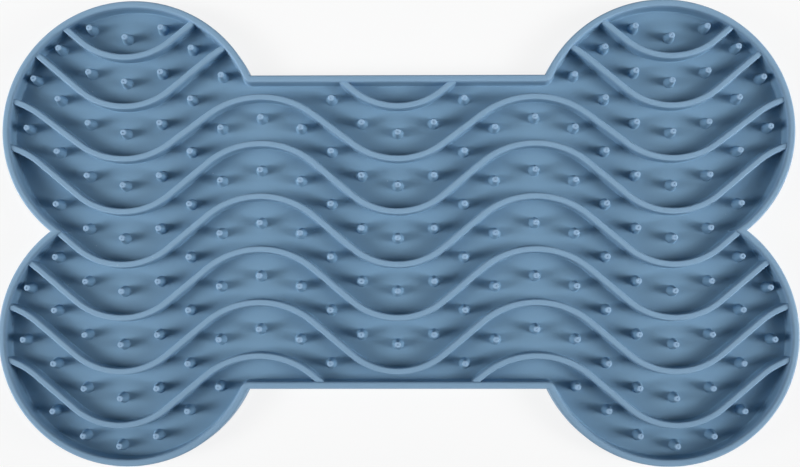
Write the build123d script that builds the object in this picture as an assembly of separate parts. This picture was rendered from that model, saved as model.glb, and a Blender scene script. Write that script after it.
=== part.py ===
from build123d import *
import math
import os

# Outline of the bone: a straight bar with a round lobe at each corner
lobe_radius = 47.6
lobe_spacing_x = 194.8
lobe_spacing_y = 74.8
bar_width = 114.4
notch_radius = 0.5  # rounding where lobe meets lobe, or lobe meets bar

# Floor and rim
floor_thickness = 2.0
tray_depth = 6.0  # from the floor up to the top of the rim
rim_top_width = 2.5
rim_draft = 5.0  # degrees that the inner wall leans outwards
rim_round = 0.8
foot_round = 0.4

# Wave that the ribs and the nub rows follow, with a trough on the middle line
trough_shift = 3.1  # the outer troughs lie this much further out than the lobes' middles
wave_height = 25.0
flank_steepness = 0.756  # share of the slope at which the arcs would meet without a flank
crest_bluntness = 1.16  # radius of a crest over radius of a trough

# Ribs
rib_top_width = 2.2
rib_draft = 2.0
rib_round = 0.7
rib_drop = 0.8  # how far the ribs stay below the top of the rim
wave_rib_count = 5  # ribs that run the whole length
upper_arc_margin = 8.2  # from the bar's upper wall to the trough of the arc below it
last_wave_margin = 3.2  # from the bar's lower wall to the trough of the last long rib
top_arc_pitch = 18.3  # between the two arcs in the upper lobes
crest_gap = 4.8  # least distance from the crests of the first long rib to the bar's wall

# Nubs
nub_base_radius = 1.8
nub_tip_radius = 1.05
nub_height = 5.8
nub_round = 0.35
nub_wall_gap = 3.5  # least distance from a nub's axis to the foot of the wall
end_row_step = 7.4  # from the outermost ribs to the nub rows beyond them
first_nub_step = 13.2  # from a trough to the next nub of its row
nub_step = 11.2  # from there to the nubs further up the wave
bare_places = ((5, 11), (9, 11))  # row and column where the pattern skips a nub

bone_length = lobe_spacing_x + 2 * lobe_radius
rim_height = floor_thickness + tray_depth
rim_foot_width = rim_top_width + tray_depth * math.tan(math.radians(rim_draft))
floor_lobe_radius = lobe_radius - rim_foot_width
floor_bar_reach = bar_width / 2 - rim_foot_width
rib_height = tray_depth - rib_drop
wave_length = lobe_spacing_x / 2 + trough_shift
nub_steps = (0, first_nub_step, first_nub_step + nub_step, first_nub_step + 2 * nub_step)
waves_each_side = math.ceil(bone_length / 2 / wave_length - 0.5)
nub_columns = len(nub_steps) * (2 * waves_each_side + 1)


def bone_outline():
    outline = Rectangle(lobe_spacing_x, bar_width)
    outline += GridLocations(lobe_spacing_x, lobe_spacing_y, 2, 2) * Circle(lobe_radius)
    return fillet(outline.vertices(), notch_radius)


def wave_shape(height):
    # slope of the flank, trough radius, crest radius and straight flank of half a wave
    steepest = math.degrees(2 * math.atan(2 * height / wave_length))
    angle = flank_steepness * steepest
    sine = math.sin(math.radians(angle))
    cosine = math.cos(math.radians(angle))
    both_radii = (wave_length / 2 * sine - height * cosine) / (1 - cosine)
    flank = (height - both_radii * (1 - cosine)) / sine
    trough_radius = both_radii / (1 + crest_bluntness)
    return angle, trough_radius, both_radii - trough_radius, flank


def wave_path(trough_y, height):
    angle, trough_radius, crest_radius, flank = wave_shape(height)
    path = []
    point = Vector(-(waves_each_side + 0.5) * wave_length, trough_y + height)
    for wave in range(2 * waves_each_side + 1):
        fall = JernArc(point, (1, 0), crest_radius, -angle)
        down = Line(fall @ 1, fall @ 1 + flank * (fall % 1))
        dip = JernArc(down @ 1, down % 1, trough_radius, 2 * angle)
        up = Line(dip @ 1, dip @ 1 + flank * (dip % 1))
        rise = JernArc(up @ 1, up % 1, crest_radius, -angle)
        path += [fall, down, dip, up, rise]
        point = rise @ 1
    return Wire(path)


def wave_rise(step):
    # height of the wave above its trough, this far along it
    angle, trough_radius, crest_radius, flank = wave_shape(wave_height)
    slope = math.tan(math.radians(angle))
    trough_end = trough_radius * math.sin(math.radians(angle))
    trough_rise = trough_radius * (1 - math.cos(math.radians(angle)))
    crest_start = trough_end + flank * math.cos(math.radians(angle))
    if step < trough_end:
        return trough_radius - math.sqrt(trough_radius**2 - step**2)
    if step > crest_start:
        to_crest = wave_length / 2 - step
        return wave_height - crest_radius + math.sqrt(crest_radius**2 - to_crest**2)
    return trough_rise + slope * (step - trough_end)


def rib_section():
    top = rib_top_width / 2
    foot = top + rib_height * math.tan(math.radians(rib_draft))
    rib_top = floor_thickness + rib_height
    corners = [(-foot, floor_thickness), (foot, floor_thickness), (top, rib_top), (-top, rib_top)]
    section = make_face(Polyline(corners, close=True))
    return fillet(section.vertices().group_by(Axis.Y)[-1], rib_round)


def rib_wave(trough_y, height):
    # the rim's wall cuts the wave off, so one line can give up to three ribs
    path = wave_path(trough_y, height)
    across = Plane(path @ 0, x_dir=(0, 1, 0), z_dir=(1, 0, 0))
    return (sweep(across * rib_section(), path) & hollow).solids()


def rib_groups(name, solids):
    left = [solid for solid in solids if solid.center().X < -wave_length / 4]
    right = [solid for solid in solids if solid.center().X > wave_length / 4]
    middle = [solid for solid in solids if abs(solid.center().X) <= wave_length / 4]
    return {f"{name}_left": left, f"{name}_middle": middle, f"{name}_right": right}


def make_nub():
    stem = Cone(nub_base_radius, nub_tip_radius, nub_height, align=(Align.CENTER, Align.CENTER, Align.MIN))
    return fillet(stem.edges().group_by(Axis.Z)[-1], nub_round)


def column_step(column):
    # distance of a column from the nearest trough, which crests share as half a wave
    along_wave = column % (2 * len(nub_steps))
    if along_wave == len(nub_steps):
        return wave_length / 2
    return nub_steps[min(along_wave, 2 * len(nub_steps) - along_wave)]


def column_x(column):
    nearest_trough = wave_length * ((column + len(nub_steps)) // (2 * len(nub_steps)))
    before_trough = column % (2 * len(nub_steps)) >= len(nub_steps)
    return nearest_trough - column_step(column) if before_trough else nearest_trough + column_step(column)


def nub_seat(x, y):
    # a nub that would crowd a lobe's wall stands at the wall gap instead
    if abs(x) <= lobe_spacing_x / 2 and abs(y) <= floor_bar_reach - nub_wall_gap:
        return x, y
    lobe_x = math.copysign(lobe_spacing_x / 2, x)
    lobe_y = math.copysign(lobe_spacing_y / 2, y)
    reach = math.hypot(x - lobe_x, y - lobe_y)
    if reach > floor_lobe_radius:
        return None
    if reach <= floor_lobe_radius - nub_wall_gap:
        return x, y
    pull = (floor_lobe_radius - nub_wall_gap) / reach
    return lobe_x + (x - lobe_x) * pull, lobe_y + (y - lobe_y) * pull


def nub_row(row, row_y):
    nubs = []
    for column in range(nub_columns):
        for side in (1, -1) if column else (1,):
            seat = nub_seat(side * column_x(column), row_y + wave_rise(column_step(column)))
            if seat and (row, column) not in bare_places:
                nubs.append(Pos(*seat, floor_thickness) * nub)
    return nubs


os.makedirs("parts", exist_ok=True)

# Floor panel, the rim that stands round it, and the hollow that they enclose
bone = bone_outline()
floor_outline = offset(bone, -rim_foot_width)
mouth_outline = offset(bone, -rim_top_width)
floor_panel = extrude(floor_outline, floor_thickness)
hollow_foot = Pos(0, 0, floor_thickness) * floor_outline.face()
hollow = loft([hollow_foot, Pos(0, 0, rim_height) * mouth_outline.face()], ruled=True)
rim = extrude(bone, rim_height) - floor_panel - hollow
rim = fillet(rim.edges().group_by(Axis.Z)[-1], rim_round)
rim = fillet(rim.faces().sort_by(Axis.Z)[0].outer_wire().edges(), foot_round)
export_step(floor_panel, "parts/floor_panel.step")
export_step(rim, "parts/rim.step")

# Lines of ribs, from the upper lobes down to the lower ones
upper_arc_y = floor_bar_reach - upper_arc_margin
top_arc_y = upper_arc_y + top_arc_pitch
last_wave_y = last_wave_margin - floor_bar_reach
rib_pitch = (upper_arc_y - last_wave_y) / wave_rib_count
lower_rib_y = last_wave_y - rib_pitch
wave_lines = [upper_arc_y - (number + 1) * rib_pitch for number in range(wave_rib_count)]
ribs = rib_groups("top_arc_rib", rib_wave(top_arc_y, wave_height))
ribs |= rib_groups("upper_arc_rib", rib_wave(upper_arc_y, wave_height))
for number, trough_y in enumerate(wave_lines, start=1):
    crest_room = floor_bar_reach - crest_gap - trough_y
    ribs[f"wave_rib_{number}"] = rib_wave(trough_y, min(wave_height, crest_room))
ribs |= rib_groups("lower_rib", rib_wave(lower_rib_y, wave_height))

# Lines of nubs: one between each two ribs, and one beyond the outermost rib at each end
nub = make_nub()
rib_lines = [top_arc_y, upper_arc_y, *wave_lines, lower_rib_y]
nub_lines = [top_arc_y + end_row_step]
nub_lines += [(above + below) / 2 for above, below in zip(rib_lines, rib_lines[1:])]
nub_lines.append(lower_rib_y - end_row_step)
rows = {f"nub_row_{row}": nub_row(row, row_y) for row, row_y in enumerate(nub_lines, start=1)}

for node, solids in (ribs | rows).items():
    if solids:
        export_step(Compound(children=solids), f"parts/{node}.step")
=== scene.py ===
import math

import bmesh
import bpy
from mathutils import Matrix, Vector


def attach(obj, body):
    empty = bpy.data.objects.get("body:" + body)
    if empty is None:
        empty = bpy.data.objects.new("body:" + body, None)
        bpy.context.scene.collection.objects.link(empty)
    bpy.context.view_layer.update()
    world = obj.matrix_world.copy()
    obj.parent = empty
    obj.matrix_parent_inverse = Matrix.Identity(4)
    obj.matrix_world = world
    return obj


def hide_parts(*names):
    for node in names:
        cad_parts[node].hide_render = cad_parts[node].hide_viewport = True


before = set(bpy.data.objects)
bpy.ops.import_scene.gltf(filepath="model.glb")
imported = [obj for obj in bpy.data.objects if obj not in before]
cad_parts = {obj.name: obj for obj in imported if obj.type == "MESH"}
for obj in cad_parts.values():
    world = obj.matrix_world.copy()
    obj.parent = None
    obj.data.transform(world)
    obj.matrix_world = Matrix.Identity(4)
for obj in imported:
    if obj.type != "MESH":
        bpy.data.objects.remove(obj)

scene = bpy.context.scene
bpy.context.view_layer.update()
millimetre = 0.001  # pieces are modelled in millimetres and scaled down at the end
floorTop = 2.0  # upper face of the floor panel
print("frame loaded:", len(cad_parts), "moulded features")


class Wire:
    # a node's output that can stand in a Python expression
    def __init__(self, tree, socket):
        self.tree = tree
        self.socket = socket

    def math(self, operation, first, second):
        step = self.tree.nodes.new("ShaderNodeMath")
        step.operation = operation
        for place, value in zip(step.inputs, (first, second)):
            if isinstance(value, Wire):
                self.tree.links.new(value.socket, place)
            else:
                place.default_value = value
        return Wire(self.tree, step.outputs[0])

    def __add__(self, other):
        return self.math("ADD", self, other)

    def __radd__(self, other):
        return self.math("ADD", other, self)

    def __sub__(self, other):
        return self.math("SUBTRACT", self, other)

    def __rsub__(self, other):
        return self.math("SUBTRACT", other, self)

    def __mul__(self, other):
        return self.math("MULTIPLY", self, other)

    def __rmul__(self, other):
        return self.math("MULTIPLY", other, self)

    def __lt__(self, other):
        return self.math("LESS_THAN", self, other)

    def __gt__(self, other):
        return self.math("GREATER_THAN", self, other)


class Shading:
    # the node tree of a material or of the world
    def __init__(self, owner):
        owner.use_nodes = True
        self.tree = owner.node_tree
        self.tree.nodes.clear()

    def add(self, kind, settings, sockets, out=0):
        node = self.tree.nodes.new(kind)
        for key, value in settings.items():
            setattr(node, key, value)
        for key, value in sockets.items():
            if isinstance(value, Wire):
                self.tree.links.new(value.socket, node.inputs[key])
            else:
                node.inputs[key].default_value = value
        return Wire(self.tree, node.outputs[out]) if node.outputs else None

    def tint(self, factor, first, second):
        # sockets 0, 6 and 7 are the Mix node's factor and its two colours
        return self.add("ShaderNodeMix", {"data_type": "RGBA"}, {0: factor, 6: first, 7: second}, 2)

    def rays(self, *kinds):
        # 1 for rays of any of these kinds, 0 for the others
        hits = sum(self.add("ShaderNodeLightPath", {}, {}, f"Is {kind} Ray") for kind in kinds)
        return hits.math("MINIMUM", hits, 1.0)  # a ray can be of two kinds at once


siliconeLook = {
    "deep": (0.170, 0.305, 0.448, 1.0),  # blue-grey, as moulded
    "pale": (0.205, 0.345, 0.488, 1.0),  # where the pigment is thinner
    "cloudScale": 38.0,  # broad uneven tone, per metre
    "cloudDetail": 3.0,
    "cloudShare": 0.6,  # of the uneven tone, the rest being grain
    "paintedSheen": (0.40, 0.58, 0.80, 1.0),  # painted sheen: the upper edges made paler, standing in for light catching them
    "paintedSheenShare": 0.28,
    "paintedSheenFrom": 0.0052,  # heights above the table, metres
    "paintedSheenFull": 0.0069,
    "dust": (0.62, 0.70, 0.76, 1.0),
    "dustShare": 0.55,
    "speckScale": 330.0,  # cells that may hold one speck of dust, per metre
    "speckSize": 0.055,
    "speckChance": 0.035,
    "grainScale": 2600.0,  # fine texture of the mould, per metre
    "grainDetail": 2.0,
    "grainShare": 0.4,
    "grainHeight": 0.00003,
    "grainStrength": 0.35,
    "grainMiddle": 0.5,  # grain at which the roughness is as given
    "grainRoughness": 0.10,
    "roughness": 0.50,
    "ior": 1.41,
    "specular": 0.25,  # a dry skin with little gloss
}

# on the nubs the painted sheen lies on their tips alone, as a painted highlight
nubLook = siliconeLook | {"paintedSheenShare": 0.62, "paintedSheenFrom": 0.0072, "paintedSheenFull": 0.0076}


def makeSilicone(name, look):
    material = bpy.data.materials.new(name)
    silicone = Shading(material)
    place = silicone.add("ShaderNodeTexCoord", {}, {}, "Object")
    cloud = silicone.add("ShaderNodeTexNoise", {}, {
        "Vector": place, "Scale": look["cloudScale"], "Detail": look["cloudDetail"]})
    grain = silicone.add("ShaderNodeTexNoise", {}, {
        "Vector": place, "Scale": look["grainScale"], "Detail": look["grainDetail"]})
    uneven = cloud * look["cloudShare"] + grain * look["grainShare"]
    tone = silicone.tint(uneven, look["deep"], look["pale"])

    height = silicone.add("ShaderNodeSeparateXYZ", {}, {"Vector": place}, "Z")
    # painted sheen: paler towards the top, standing in for light on the upper edges and nub tips
    paintedSheen = silicone.add("ShaderNodeMapRange", {"interpolation_type": "SMOOTHSTEP"}, {
        "Value": height,
        "From Min": look["paintedSheenFrom"],
        "From Max": look["paintedSheenFull"],
        "To Max": look["paintedSheenShare"],
    })
    tone = silicone.tint(paintedSheen, tone, look["paintedSheen"])

    cells = {"Vector": place, "Scale": look["speckScale"]}
    reach = silicone.add("ShaderNodeTexVoronoi", {}, cells, "Distance")
    cell = silicone.add("ShaderNodeTexVoronoi", {}, cells, "Position")
    chance = silicone.add("ShaderNodeTexWhiteNoise", {}, {"Vector": cell})
    speck = (reach < look["speckSize"]) * (chance < look["speckChance"])
    tone = silicone.tint(speck * look["dustShare"], tone, look["dust"])

    bump = silicone.add("ShaderNodeBump", {}, {
        "Height": grain, "Strength": look["grainStrength"], "Distance": look["grainHeight"]})
    skin = silicone.add("ShaderNodeBsdfPrincipled", {}, {
        "Base Color": tone,
        "Roughness": look["roughness"] + (grain - look["grainMiddle"]) * look["grainRoughness"],
        "IOR": look["ior"],
        "Specular IOR Level": look["specular"],
        "Normal": bump,
    })
    silicone.add("ShaderNodeOutputMaterial", {}, {"Surface": skin})
    return material


siliconeSkin = makeSilicone("silicone", siliconeLook)
nubSkin = makeSilicone("silicone nubs", nubLook)
print("silicone mixed")


finish = {"sharpFrom": math.radians(50), "weld": 0.0005,
          "filletShare": 0.98}  # a fillet ends just short of its lip's edge


def makePiece(node, bm, skin):
    bmesh.ops.remove_doubles(bm, verts=bm.verts[:], dist=finish["weld"])
    bmesh.ops.recalc_face_normals(bm, faces=bm.faces[:])
    for face in bm.faces:
        face.smooth = True
    for edge in bm.edges:
        edge.smooth = edge.calc_face_angle(0.0) < finish["sharpFrom"]
    bmesh.ops.scale(bm, vec=(millimetre,) * 3, verts=bm.verts[:])
    piece = makeObject("silicone_" + node, bm)
    piece.data.materials.append(skin)
    piece.modifiers.new("even shading", "WEIGHTED_NORMAL").keep_sharp = True
    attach(piece, "root")
    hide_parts(node)


def makeObject(name, bm):
    mesh = bpy.data.meshes.new(name)
    bm.to_mesh(mesh)
    bm.free()
    thing = bpy.data.objects.new(name, mesh)
    scene.collection.objects.link(thing)
    return thing


def drawSection(bm, start, corners, rounds):
    # an upright face across a path that sets off along X, with its named corners rounded
    spots = {name: bm.verts.new(start + Vector((0, across, z))) for name, across, z in corners}
    bm.faces.new(list(spots.values()))
    for name, (radius, segments) in rounds.items():
        bmesh.ops.bevel(bm, geom=[spots[name]], offset=radius, offset_type="OFFSET", segments=segments,
                        profile=0.5, affect="VERTICES", material=-1, clamp_overlap=False)
    return bm.edges[:]


def sweepAlong(bm, edges, path):
    # each leg of the path is a straight run or a turn about an upright axis
    for leg in path:
        if "run" in leg:
            made = bmesh.ops.extrude_edge_only(bm, edges=edges)["geom"]
            verts = [item for item in made if isinstance(item, bmesh.types.BMVert)]
            bmesh.ops.translate(bm, vec=leg["run"], verts=verts)
            edges = [item for item in made if isinstance(item, bmesh.types.BMEdge)
                     and item.verts[0] in verts and item.verts[1] in verts]
        else:
            verts = list(dict.fromkeys(vert for edge in edges for vert in edge.verts))
            made = bmesh.ops.spin(bm, geom=edges + verts, cent=leg["about"], axis=(0, 0, 1),
                                  angle=leg["turn"], steps=leg["steps"], use_merge=False)["geom_last"]
            edges = [item for item in made if isinstance(item, bmesh.types.BMEdge)]
    return edges


bone = {"lobeRadius": 47.6, "lobeX": 97.4, "lobeY": 37.4, "barHalf": 57.2, "notchRadius": 0.5,
        "overrun": math.radians(60), "lobeSteps": 96, "notchSteps": 7}


def quarterPath(inset):
    # from the middle of the bar's edge round one lobe, and past the line where the next lobe meets it
    lobe = bone["lobeRadius"] - inset
    notch = bone["notchRadius"] + inset
    bar = bone["barHalf"] - inset
    lobeMiddle = Vector((bone["lobeX"], bone["lobeY"], 0))
    notchMiddle = Vector((0, bar + notch, 0))
    notchMiddle.x = lobeMiddle.x - math.sqrt((lobe + notch) ** 2 - (notchMiddle.y - lobeMiddle.y) ** 2)
    rise = math.atan2(notchMiddle.y - lobeMiddle.y, lobeMiddle.x - notchMiddle.x)
    return Vector((0, bar, 0)), [
        {"run": Vector((notchMiddle.x, 0, 0))},
        {"about": notchMiddle, "turn": math.pi / 2 - rise, "steps": bone["notchSteps"]},
        {"about": lobeMiddle, "turn": rise - math.pi - bone["overrun"], "steps": bone["lobeSteps"]},
    ]


def mirrorQuarter(bm):
    bmesh.ops.bisect_plane(bm, geom=bm.verts[:] + bm.edges[:] + bm.faces[:], dist=finish["weld"],
                           plane_co=(0, 0, 0), plane_no=(0, 1, 0), clear_inner=True)
    for axis in ("X", "Y"):
        bmesh.ops.mirror(bm, geom=bm.verts[:] + bm.edges[:] + bm.faces[:], matrix=Matrix.Identity(4),
                         merge_dist=finish["weld"], axis=axis)
    bmesh.ops.remove_doubles(bm, verts=bm.verts[:], dist=finish["weld"])


rim = {
    "height": 8.0, "topWidth": 2.5, "footWidth": 3.025,
    "topRound": 0.8, "topSegments": 5,
    "footRound": 0.4, "footSegments": 3,
    "rootRound": 0.6, "rootSegments": 5,  # fillet at the tray's floor
    "sink": 0.02, "lipDepth": 0.08,  # the fillet runs out on a thin lip just below the floor
}


def makeRim():
    bm = bmesh.new()
    start, path = quarterPath(0)
    root = rim["footWidth"] + rim["rootRound"]
    corners = [
        ("outerFoot", 0, 0),
        ("outerTop", 0, rim["height"]),
        ("innerTop", -rim["topWidth"], rim["height"]),
        ("innerFoot", -rim["footWidth"], floorTop - rim["sink"]),
        ("rootEdge", -root, floorTop - rim["sink"]),
        ("rootUnder", -root, floorTop - rim["lipDepth"]),
        ("seam", -rim["footWidth"], floorTop - rim["lipDepth"]),
        ("underside", -rim["footWidth"], 0),
    ]
    topRound = (rim["topRound"], rim["topSegments"])
    rounds = {
        "outerFoot": (rim["footRound"], rim["footSegments"]),
        "outerTop": topRound,
        "innerTop": topRound,
        "innerFoot": (rim["rootRound"] * finish["filletShare"], rim["rootSegments"]),
    }
    edges = drawSection(bm, start, corners, rounds)
    bmesh.ops.delete(bm, geom=bm.faces[:], context="FACES_ONLY")
    sweepAlong(bm, edges, path)
    mirrorQuarter(bm)
    makePiece("rim", bm, siliconeSkin)


makeRim()
print("rim moulded")


wave = {"length": 100.5, "steepness": 0.756, "bluntness": 1.16, "count": 3,
        "arcStep": math.radians(2.6), "fewestSteps": 4}


def wavePath(trough, height):
    # waves of arcs and straight flanks, from the crest at the left to the one at the right
    half = wave["length"] / 2
    angle = wave["steepness"] * 2 * math.atan(height / half)
    sine, cosine = math.sin(angle), math.cos(angle)
    bothRadii = (half * sine - height * cosine) / (1 - cosine)
    flank = (height - bothRadii * (1 - cosine)) / sine
    dip = bothRadii / (1 + wave["bluntness"])
    crest = bothRadii - dip
    crestMiddle = trough + height - crest
    steps = max(wave["fewestSteps"], round(angle / wave["arcStep"]))
    start = Vector((-wave["count"] * half, trough + height, 0))
    legs = []
    for number in range(wave["count"]):
        middle = start.x + (number + 0.5) * wave["length"]
        legs += [
            {"about": Vector((middle - half, crestMiddle, 0)), "turn": -angle, "steps": steps},
            {"run": flank * Vector((cosine, -sine, 0))},
            {"about": Vector((middle, trough + dip, 0)), "turn": 2 * angle, "steps": 2 * steps},
            {"run": flank * Vector((cosine, sine, 0))},
            {"about": Vector((middle + half, crestMiddle, 0)), "turn": -angle, "steps": steps},
        ]
    return start, legs


rib = {
    "top": 7.2, "topHalf": 1.1, "footHalf": 1.28,
    "topRound": 0.6, "topSegments": 5,
    "rootRound": 0.4, "rootSegments": 3,
    "sink": 0.02, "base": 0.1,  # how far the fillets end below the floor, and the base below them
    "intoRim": 1.3, "plugHeight": 16.0,
}

ribLines = {
    "top_arc_rib": {"trough": 64.275, "height": 25.0, "sides": ("left", "right")},
    "upper_arc_rib": {"trough": 45.975, "height": 25.0, "sides": ("left", "middle", "right")},
    "wave_rib_1": {"trough": 26.585, "height": 22.79, "sides": ()},
    "wave_rib_2": {"trough": 7.195, "height": 25.0, "sides": ()},
    "wave_rib_3": {"trough": -12.195, "height": 25.0, "sides": ()},
    "wave_rib_4": {"trough": -31.585, "height": 25.0, "sides": ()},
    "wave_rib_5": {"trough": -50.975, "height": 25.0, "sides": ()},
    "lower_rib": {"trough": -70.365, "height": 25.0, "sides": ("left", "right")},
}


def makePlug():
    # fills the tray as far as the middle of the rim, to cut the ribs off there
    bm = bmesh.new()
    start, path = quarterPath(rib["intoRim"])
    foot = bm.verts.new(start)
    head = bm.verts.new(start + Vector((0, 0, rib["plugHeight"])))
    sweepAlong(bm, [bm.edges.new((foot, head))], path)
    mirrorQuarter(bm)
    bmesh.ops.holes_fill(bm, edges=bm.edges[:])
    bmesh.ops.recalc_face_normals(bm, faces=bm.faces[:])
    return makeObject("tray plug", bm)


def makeWave(trough, height):
    bm = bmesh.new()
    start, path = wavePath(trough, height)
    low = floorTop - rib["sink"]
    root = rib["footHalf"] + rib["rootRound"]
    corners = [
        ("upperEdge", root, low), ("upperFoot", rib["footHalf"], low),
        ("upperTop", rib["topHalf"], rib["top"]), ("lowerTop", -rib["topHalf"], rib["top"]),
        ("lowerFoot", -rib["footHalf"], low), ("lowerEdge", -root, low),
        ("lowerBase", -root, low - rib["base"]), ("upperBase", root, low - rib["base"]),
    ]
    topRound = (rib["topRound"], rib["topSegments"])
    footRound = (rib["rootRound"] * finish["filletShare"], rib["rootSegments"])
    rounds = {"upperTop": topRound, "lowerTop": topRound, "upperFoot": footRound, "lowerFoot": footRound}
    edges = drawSection(bm, start, corners, rounds)
    bmesh.ops.edgeloop_fill(bm, edges=sweepAlong(bm, edges, path))
    bmesh.ops.recalc_face_normals(bm, faces=bm.faces[:])
    return makeObject("wave", bm)


def cutByPlug(waveLine, plug):
    cut = waveLine.modifiers.new("cut", "BOOLEAN")
    cut.operation = "INTERSECT"
    cut.solver = "EXACT"
    cut.object = plug
    mesh = bpy.data.meshes.new_from_object(waveLine.evaluated_get(bpy.context.evaluated_depsgraph_get()))
    bpy.data.objects.remove(waveLine)
    return mesh


def middleOf(verts):
    low = Vector(min(vert.co[axis] for vert in verts) for axis in range(3))
    high = Vector(max(vert.co[axis] for vert in verts) for axis in range(3))
    return (low + high) / 2


def looseParts(bm):
    # the vertices of each connected part, from left to right
    waiting = set(bm.verts)
    parts = []
    while waiting:
        front = [waiting.pop()]
        part = list(front)
        while front:
            reached = {vert for edge in front.pop().link_edges for vert in edge.verts} & waiting
            waiting -= reached
            part += reached
            front += reached
        parts.append(part)
    return sorted(parts, key=lambda part: middleOf(part).x)


def makeRibs():
    plug = makePlug()
    for name, line in ribLines.items():
        cutWave = cutByPlug(makeWave(line["trough"], line["height"]), plug)
        nodes = [f"{name}_{side}" for side in line["sides"]] or [name]
        for number, node in enumerate(nodes):
            bm = bmesh.new()
            bm.from_mesh(cutWave)
            keep = set(looseParts(bm)[number])
            bmesh.ops.delete(bm, geom=[vert for vert in bm.verts if vert not in keep], context="VERTS")
            makePiece(node, bm, siliconeSkin)
        print(name, "moulded in", len(nodes))
    bpy.data.objects.remove(plug)


makeRibs()


nub = {
    "rows": 9,
    "segments": 12,
    # radius and height, from the underside and the fillet on the floor to the dimple in the tip
    "profile": [(0, 1.98), (2.25, 1.98), (1.86, 2.28), (1.18, 7.42),
                (0.94, 7.78), (0.36, 7.80), (0.22, 7.58), (0, 7.54)],
}


def nubSeats(node):
    # where the nubs of a CAD row stand
    row = bmesh.new()
    row.from_mesh(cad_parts[node].data)
    bmesh.ops.scale(row, vec=(1 / millimetre,) * 3, verts=row.verts[:])
    bmesh.ops.remove_doubles(row, verts=row.verts[:], dist=finish["weld"])
    seats = [middleOf(part) * Vector((1, 1, 0)) for part in looseParts(row)]
    row.free()
    return seats


def makeNub(bm, seat):
    spots = [bm.verts.new(seat + Vector((radius, 0, z))) for radius, z in nub["profile"]]
    edges = [bm.edges.new(pair) for pair in zip(spots, spots[1:])]
    bmesh.ops.spin(bm, geom=spots + edges, cent=seat, axis=(0, 0, 1), angle=2 * math.pi,
                   steps=nub["segments"], use_merge=True)


def makeNubRows():
    for number in range(1, nub["rows"] + 1):
        node = f"nub_row_{number}"
        seats = nubSeats(node)
        bm = bmesh.new()
        for seat in seats:
            makeNub(bm, seat)
        makePiece(node, bm, nubSkin)
        print(node, "moulded with", len(seats), "nubs")


makeNubRows()

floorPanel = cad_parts["floor_panel"].data  # keeps its CAD shape
floorPanel.materials.clear()
floorPanel.materials.append(siliconeSkin)
print("floor panel coated")


backdropWhite = (1.0, 1.0, 1.0, 1.0)
table = {
    "size": 6.0, "gap": 0.0002,
    "tone": (0.86, 0.86, 0.86, 1.0),
    "white": 0.84,  # share of plain white near the mat, where part of the shadow still shows
    "fadeFrom": 0.25, "fadeTo": 0.80,  # metres from the middle, between which that rises to all white
}


def makeTable():
    bm = bmesh.new()
    bmesh.ops.create_grid(bm, x_segments=1, y_segments=1, size=table["size"] / 2)
    bmesh.ops.translate(bm, vec=(0, 0, -table["gap"]), verts=bm.verts[:])
    top = makeObject("table", bm)
    material = bpy.data.materials.new("pale table")
    paper = Shading(material)
    matt = paper.add("ShaderNodeBsdfDiffuse", {}, {"Color": table["tone"]})
    white = paper.add("ShaderNodeEmission", {}, {"Color": backdropWhite, "Strength": 1.0})
    place = paper.add("ShaderNodeTexCoord", {}, {}, "Object")
    reach = paper.add("ShaderNodeVectorMath", {"operation": "LENGTH"}, {0: place}, "Value")
    fade = paper.add("ShaderNodeMapRange", {"interpolation_type": "SMOOTHSTEP"}, {
        "Value": reach,
        "From Min": table["fadeFrom"],
        "From Max": table["fadeTo"],
        "To Min": table["white"],
    })
    share = paper.rays("Camera", "Glossy", "Transmission") * fade
    mixed = paper.add("ShaderNodeMixShader", {}, {0: share, 1: matt, 2: white})
    paper.add("ShaderNodeOutputMaterial", {}, {"Surface": mixed})
    top.data.materials.append(material)


room = {"light": 0.045, "tone": (0.70, 1.0, 1.20, 1.0)}  # a little cool fill


def makeRoom():
    scene.world = bpy.data.worlds.new("room")
    air = Shading(scene.world)
    seen = air.rays("Camera", "Glossy", "Transmission")
    tone = air.tint(seen, room["tone"], backdropWhite)
    strength = room["light"] + seen * (1 - room["light"])
    glow = air.add("ShaderNodeBackground", {}, {"Color": tone, "Strength": strength})
    air.add("ShaderNodeOutputWorld", {}, {"Surface": glow})


# soft boxes at the right, each with a twin at the left: metres and watts
softBoxes = {
    "low box": {"place": (0.562, 0.042, 0.205), "watts": 0.220},
    "middle box": {"place": (0.528, 0.046, 0.282), "watts": 0.167},
    "high box": {"place": (0.457, 0.048, 0.386), "watts": 0.046},
}
boxShape = {"size": (0.56, 0.17), "spread": math.radians(37), "aim": (0.108, 0.122, 0.0)}


def makeSoftBox(name, box, side):
    light = bpy.data.lights.new(name, "AREA")
    light.shape = "RECTANGLE"
    light.size, light.size_y = boxShape["size"]
    light.spread = boxShape["spread"]
    light.energy = box["watts"]
    holder = bpy.data.objects.new(name, light)
    holder.location = Vector(box["place"]) * Vector((side, 1, 1))
    beam = Vector(boxShape["aim"]) * Vector((side, 1, 1)) - holder.location
    holder.rotation_euler = beam.to_track_quat("-Z", "Y").to_euler()
    scene.collection.objects.link(holder)


makeTable()
makeRoom()
for name, box in softBoxes.items():
    makeSoftBox("right " + name, box, 1)
    makeSoftBox("left " + name, box, -1)
print("studio lit by", 2 * len(softBoxes), "soft boxes")


# from above, as the photograph was taken: millimetres and degrees
view = {
    "place": (4.57, -23.04, 411.02),
    "tilt": 3.126, "pan": 0.531, "roll": -0.079,
    "lens": 50.0, "sensor": 36.0, "nearest": 10.0,
}


def makeCamera():
    lens = bpy.data.cameras.new("camera")
    lens.lens = view["lens"]
    lens.sensor_width = view["sensor"]
    lens.clip_start = view["nearest"] * millimetre
    camera = bpy.data.objects.new("camera", lens)
    camera.location = Vector(view["place"]) * millimetre
    camera.rotation_mode = "ZYX"
    camera.rotation_euler = [math.radians(view[turn]) for turn in ("tilt", "pan", "roll")]
    scene.collection.objects.link(camera)
    scene.camera = camera
    scene.view_settings.view_transform = "Standard"


makeCamera()
print("camera placed")
